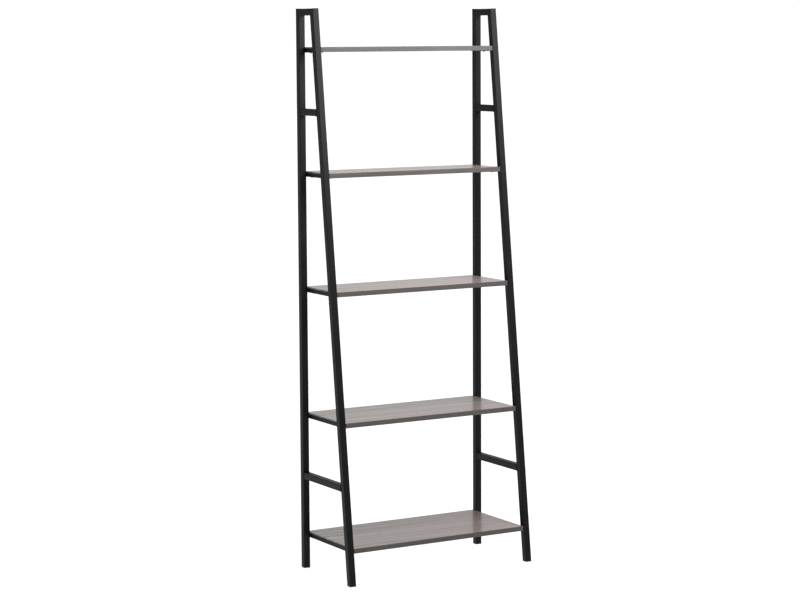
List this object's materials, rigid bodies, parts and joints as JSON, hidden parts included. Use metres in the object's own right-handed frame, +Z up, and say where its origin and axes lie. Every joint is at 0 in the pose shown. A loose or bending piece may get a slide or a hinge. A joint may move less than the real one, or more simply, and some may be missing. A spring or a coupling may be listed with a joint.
{
  "type": "ladder shelf",
  "caption": "Free-standing ladder shelf: two tapered side frames of black square steel tube joined by level wood-grain boards that get shallower towards the top.",
  "frame": {"origin": "on the floor, under the middle of the bounding box", "axes": "+Z up, +Y towards the back where the posts are upright, +X to the right seen from the front"},
  "size_m": [0.661, 0.318, 1.75],
  "materials": {
    "frame_steel": "satin black powder coat, fine texture",
    "board_laminate": "matt grey-brown wood-grain laminate",
    "board_edging": "matt dark grey-brown wood-grain edging",
    "foot_plastic": "moulded black plastic, fine texture",
    "screw_steel": "black zinc plate"
  },
  "bodies": {
    "root": {"rear_post_left": "frame_steel", "front_leg_left": "frame_steel", "top_cap_left": "frame_steel", "lower_rung_left": "frame_steel", "upper_rung_left": "frame_steel", "rear_post_right": "frame_steel", "front_leg_right": "frame_steel", "top_cap_right": "frame_steel", "lower_rung_right": "frame_steel", "upper_rung_right": "frame_steel", "shelf_rail_1_left": "frame_steel", "shelf_rail_1_right": "frame_steel", "shelf_rail_2_left": "frame_steel", "shelf_rail_2_right": "frame_steel", "shelf_rail_3_left": "frame_steel", "shelf_rail_3_right": "frame_steel", "shelf_rail_4_left": "frame_steel", "shelf_rail_4_right": "frame_steel", "shelf_rail_5_left": "frame_steel", "shelf_rail_5_right": "frame_steel", "foot_front_left": "foot_plastic", "foot_front_right": "foot_plastic", "foot_rear_left": "foot_plastic", "foot_rear_right": "foot_plastic", "shelf_board_1": "board_laminate", "shelf_board_2": "board_laminate", "shelf_board_3": "board_laminate", "shelf_board_4": "board_laminate", "shelf_board_5": "board_laminate", "edge_strip_front_1": "board_edging", "edge_strip_rear_1": "board_edging", "edge_strip_front_2": "board_edging", "edge_strip_rear_2": "board_edging", "edge_strip_front_3": "board_edging", "edge_strip_rear_3": "board_edging", "edge_strip_front_4": "board_edging", "edge_strip_rear_4": "board_edging", "edge_strip_front_5": "board_edging", "edge_strip_rear_5": "board_edging", "shelf_screw_1_left_front": "screw_steel", "shelf_screw_1_left_rear": "screw_steel", "shelf_screw_1_right_front": "screw_steel", "shelf_screw_1_right_rear": "screw_steel", "shelf_screw_2_left_front": "screw_steel", "shelf_screw_2_left_rear": "screw_steel", "shelf_screw_2_right_front": "screw_steel", "shelf_screw_2_right_rear": "screw_steel", "shelf_screw_3_left_front": "screw_steel", "shelf_screw_3_left_rear": "screw_steel", "shelf_screw_3_right_front": "screw_steel", "shelf_screw_3_right_rear": "screw_steel", "shelf_screw_4_left_front": "screw_steel", "shelf_screw_4_left_rear": "screw_steel", "shelf_screw_4_right_front": "screw_steel", "shelf_screw_4_right_rear": "screw_steel", "shelf_screw_5_left_front": "screw_steel", "shelf_screw_5_left_rear": "screw_steel", "shelf_screw_5_right_front": "screw_steel", "shelf_screw_5_right_rear": "screw_steel"}
  },
  "joints": []
}
